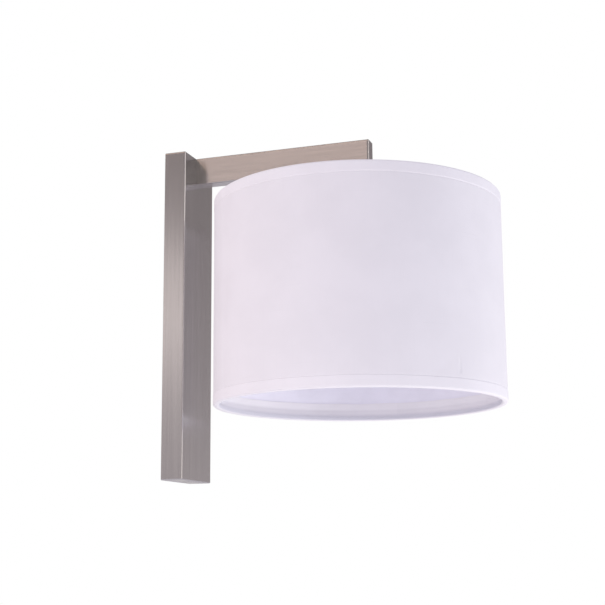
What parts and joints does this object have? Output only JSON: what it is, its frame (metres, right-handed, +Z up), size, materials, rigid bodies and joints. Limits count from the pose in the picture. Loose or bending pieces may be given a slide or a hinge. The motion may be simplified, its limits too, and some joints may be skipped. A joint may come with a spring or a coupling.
{
  "type": "wall light",
  "caption": "Wall light with an upright flat post, a slim arm and a round fabric drum shade over a screw-cap bulb.",
  "frame": {"origin": "middle of the post's back, on the wall plane", "axes": "+Y into the wall, -Y out into the room towards the shade, +Z up, +X to the right for someone facing the wall"},
  "size_m": [0.2, 0.237, 0.236],
  "materials": {
    "satin_nickel": "satin nickel plate",
    "zinc_steel": "zinc-plated sheet",
    "screw_steel": "bright zinc",
    "brass": "plain",
    "tinned_copper": "tinned",
    "white_fabric": "woven",
    "white_liner": "satin",
    "white_wire": "white paint",
    "white_plastic": "satin",
    "dark_plastic": "satin",
    "grey_plastic": "satin",
    "ceramic_white": "glazed",
    "brown_insulation": "satin",
    "blue_insulation": "satin",
    "green_insulation": "satin",
    "nickel_cap": "nickel plate",
    "black_glass": "gloss",
    "bulb_white": "satin",
    "opal_diffuser": "opal",
    "board_white": "solder mask",
    "board_green": "solder mask",
    "led_yellow": "phosphor"
  },
  "bodies": {
    "wall_frame": {"wall_bracket": "zinc_steel", "weld_nuts": "zinc_steel", "cover_screws": "screw_steel", "cable_bush": "dark_plastic", "terminal_block": "white_plastic", "terminal_inserts": "brass", "terminal_screws": "screw_steel", "terminal_fixing_screw": "screw_steel", "earth_lug": "tinned_copper", "earth_screw": "brass", "post_cover": "satin_nickel", "arm_tube": "satin_nickel", "arm_end_cap": "satin_nickel", "arm_root_plug": "zinc_steel", "arm_screws": "screw_steel", "wire_bush": "dark_plastic", "stem": "satin_nickel", "lampholder_cap": "white_plastic", "stem_locking_screw": "screw_steel", "lampholder_shell": "white_plastic", "lampholder_core": "ceramic_white", "lead_clamp_screws": "brass", "centre_contact": "brass", "side_contact": "brass", "live_lead": "brown_insulation", "neutral_lead": "blue_insulation", "earth_lead": "green_insulation"},
    "shade": {"shade_fabric": "white_fabric", "shade_liner": "white_liner", "top_ring_wire": "white_wire", "bottom_ring_wire": "white_wire", "spider_arms": "white_wire", "spider_hub": "white_wire"},
    "ring": {"shade_ring": "white_plastic"},
    "bulb": {"bulb_cap": "nickel_cap", "bulb_insulator": "black_glass", "bulb_contact": "brass", "bulb_housing": "bulb_white", "bulb_led_board": "board_white", "bulb_leds": "led_yellow", "bulb_driver_board": "board_green", "bulb_diffuser": "opal_diffuser"}
  },
  "joints": [
    {"name": "shade_drop", "type": "slide", "parent": "wall_frame", "child": "shade", "axis": [0, 0, -1], "range_m": [0, 0.0225]},
    {"name": "ring_turn", "type": "hinge", "parent": "shade", "child": "ring", "pos_m": [0, -0.137, 0.0523], "axis": [0, 0, -1], "range_deg": [0, 3240]},
    {"name": "bulb_out", "type": "slide", "parent": "wall_frame", "child": "bulb", "axis": [0, 0, -1], "range_m": [0, 0.13]}
  ],
  "couplings": [
    {"joint": "ring_turn", "follows": "shade_drop", "rad_per_m": 2513.3}
  ]
}
